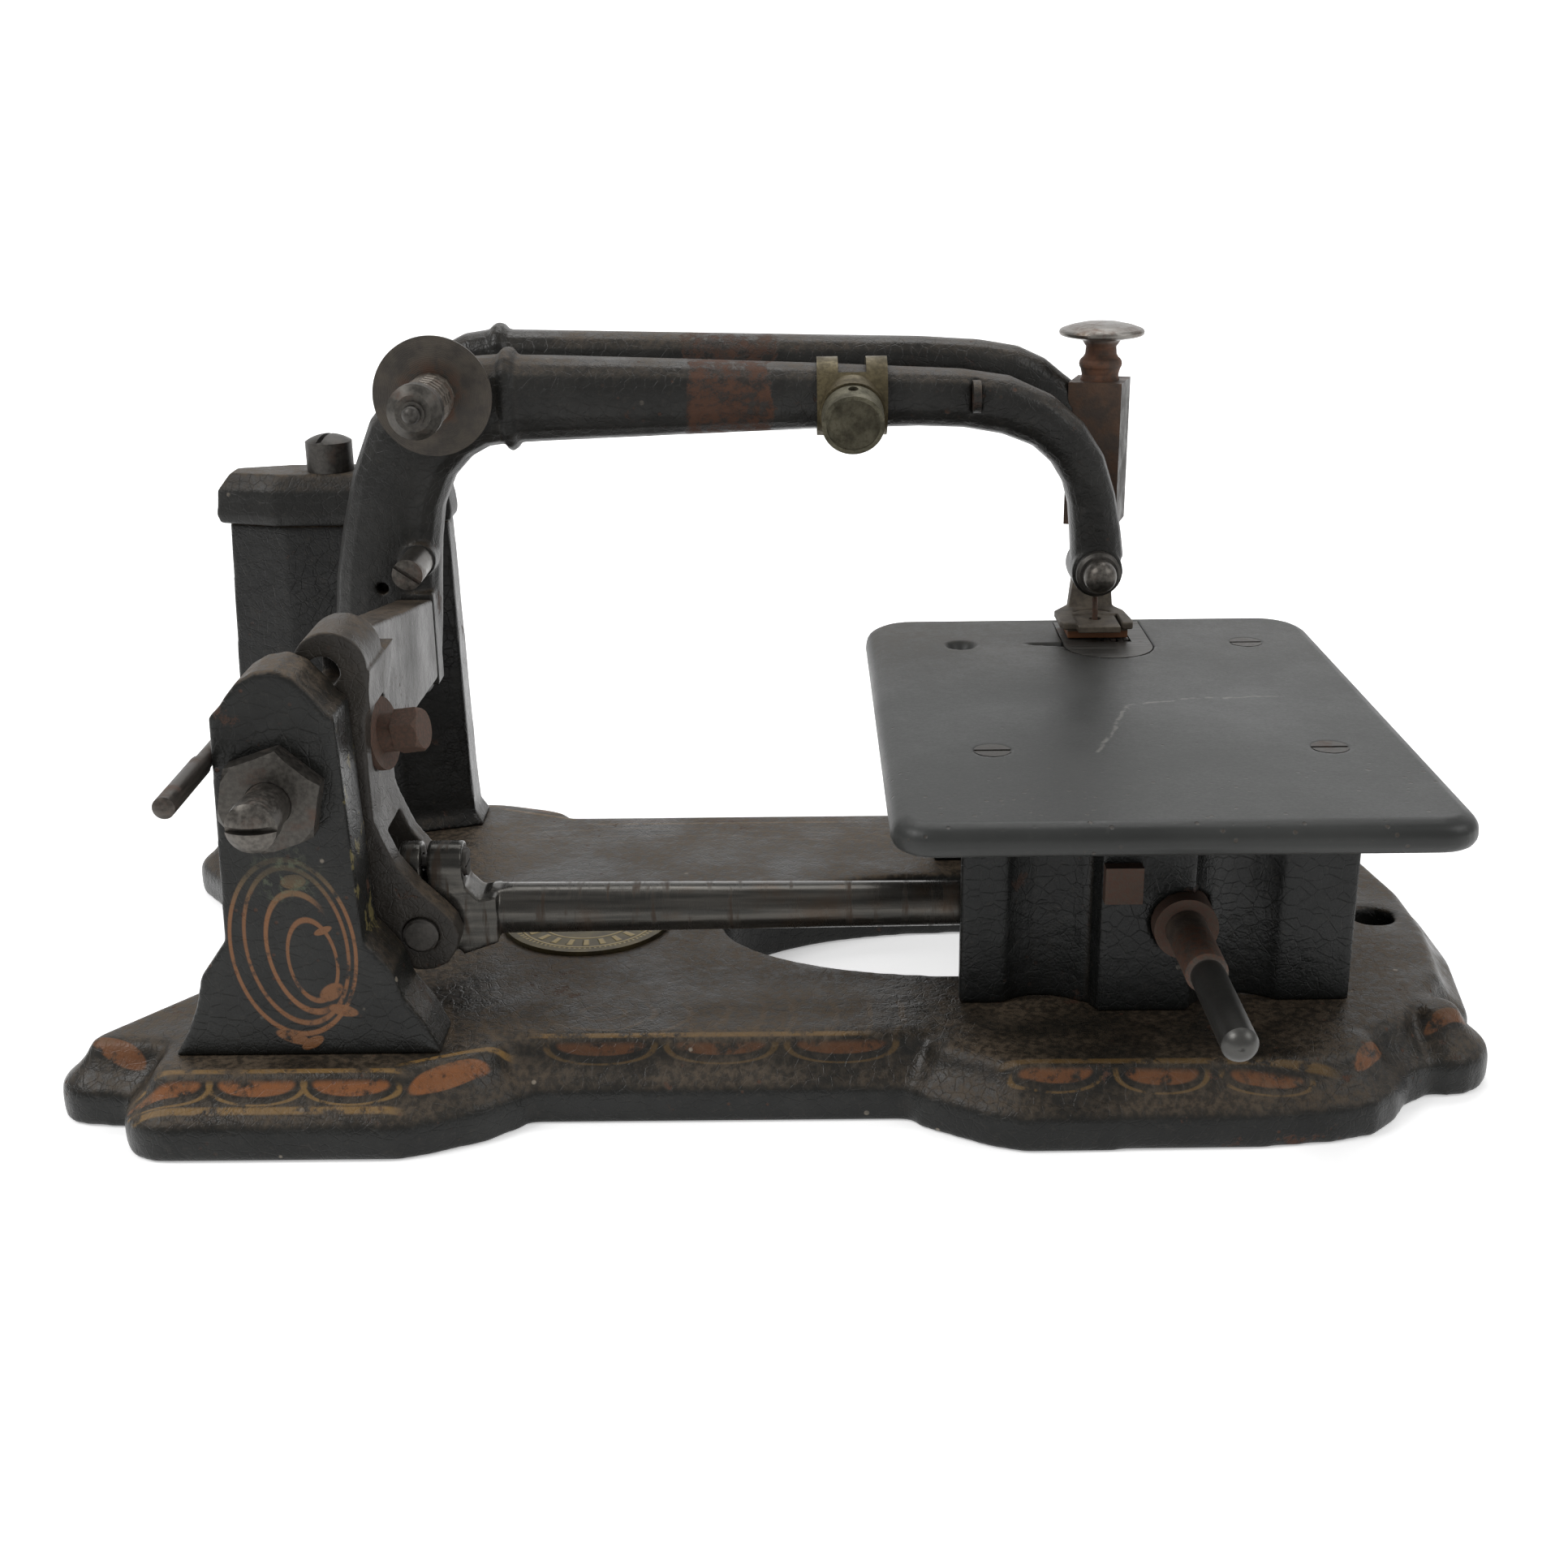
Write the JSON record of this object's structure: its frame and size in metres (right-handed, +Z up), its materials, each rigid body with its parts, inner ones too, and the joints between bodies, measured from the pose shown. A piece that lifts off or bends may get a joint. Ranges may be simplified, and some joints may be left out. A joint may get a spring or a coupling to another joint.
{
  "type": "leather sewing machine",
  "caption": "Antique leather sewing machine head with a scalloped cast bed, curved-needle rocking arm, fixed presser arm, cloth plate and rotary-hook drive shaft.",
  "frame": {"origin": "middle of the machine's footprint, on the surface that it stands on", "axes": "+X along the bed from the pivot end to the needle end, +Y from the shaft's free end to the bobbin side, +Z up"},
  "size_m": [0.3358, 0.214, 0.16],
  "materials": {
    "japanned_casting": "worn black japan paint with gold and orange flourishes, dust and rust",
    "dusty_plate": "satin dark grey, scratched and dusty",
    "bare_steel": "aged bright steel with brown stains",
    "rusty_steel": "brown surface rust",
    "aged_brass": "tarnished"
  },
  "bodies": {
    "base": {"bed_plate": "japanned_casting", "medallion": "aged_brass", "front_standard": "japanned_casting", "rear_column": "japanned_casting", "front_pivot_screw": "bare_steel", "rear_pivot_screw": "bare_steel", "front_lock_nut": "bare_steel", "rear_lock_nut": "bare_steel", "spool_pin": "bare_steel", "shaft_housing": "japanned_casting", "shaft_bushes": "rusty_steel", "bearing_clamp": "rusty_steel", "cloth_plate": "dusty_plate", "plate_screws": "bare_steel", "throat_plate": "dusty_plate", "presser_arm": "japanned_casting", "cap_screw": "bare_steel", "presser_tube": "rusty_steel", "bobbin_ring": "bare_steel", "presser_spring": "bare_steel"},
    "arm": {"rocker": "japanned_casting", "rocker_bolt": "rusty_steel", "rocker_washer": "rusty_steel", "link_pin": "bare_steel", "needle_arm": "japanned_casting", "arm_screw": "bare_steel", "needle": "bare_steel", "needle_collar": "rusty_steel", "needle_screw": "bare_steel", "thread_guide": "japanned_casting", "thread_cup_band": "aged_brass", "thread_cup": "aged_brass", "thread_cup_cap": "aged_brass", "tension_stud": "bare_steel", "tension_spring": "bare_steel"},
    "discs": {"tension_discs": "bare_steel"},
    "nut": {"tension_nut": "bare_steel"},
    "rod": {"connecting_rod": "bare_steel", "pinch_screw": "bare_steel", "eccentric_strap": "bare_steel", "strap_screws": "bare_steel"},
    "presser": {"presser_bar": "bare_steel", "presser_foot": "bare_steel"},
    "washer": {"spring_washer": "bare_steel"},
    "thumb": {"thumb_screw": "rusty_steel"},
    "shaft": {"main_shaft": "bare_steel", "eccentric": "bare_steel", "feed_cam": "bare_steel", "rotary_hook": "bare_steel"},
    "bobbin_body": {"bobbin": "bare_steel"},
    "feed": {"feed_bar": "bare_steel"}
  },
  "joints": [
    {"name": "arm_rock", "type": "hinge", "parent": "base", "child": "arm", "pos_m": [-0.105, 0.011, 0.079], "axis": [0, 1, 0], "range_deg": [-8.5, 0.5]},
    {"name": "rod_pivot", "type": "hinge", "parent": "arm", "child": "rod", "pos_m": [-0.08, -0.033, 0.0395], "axis": [0, 1, 0], "range_deg": [-1, 10]},
    {"name": "disc_spin", "type": "hinge", "parent": "arm", "child": "discs", "pos_m": [-0.086, 0.047, 0.145], "axis": [0, 1, 0], "continuous": true},
    {"name": "tension_turn", "type": "hinge", "parent": "arm", "child": "nut", "pos_m": [-0.086, 0.022, 0.145], "axis": [0, 1, 0], "range_deg": [-180, 180]},
    {"name": "presser_lift", "type": "slide", "parent": "base", "child": "presser", "axis": [0, 0, 1], "range_m": [0, 0.0035], "stiffness_N_per_m": 300, "springref_m": -0.006, "deforming": ["presser_spring"]},
    {"name": "washer_slide", "type": "slide", "parent": "base", "child": "washer", "axis": [0, 0, 1], "range_m": [0, 0.0036]},
    {"name": "thumb_turn", "type": "hinge", "parent": "washer", "child": "thumb", "pos_m": [0.087, 0.083, 0.15], "axis": [0, 0, 1], "range_deg": [0, 1080]},
    {"name": "shaft_spin", "type": "hinge", "parent": "base", "child": "shaft", "pos_m": [0.091, 0.011, 0.04], "axis": [0, 1, 0], "continuous": true},
    {"name": "bobbin_spin", "type": "hinge", "parent": "base", "child": "bobbin_body", "pos_m": [0.091, 0.062, 0.04], "axis": [0, 1, 0], "continuous": true},
    {"name": "feed_slide", "type": "slide", "parent": "base", "child": "feed", "axis": [0, 1, 0], "range_m": [-0.002, 0.0015]}
  ],
  "couplings": [
    {"joint": "rod_pivot", "follows": "arm_rock", "ratio": -1.16},
    {"joint": "washer_slide", "follows": "thumb_turn", "m_per_rad": 0.000159}
  ]
}
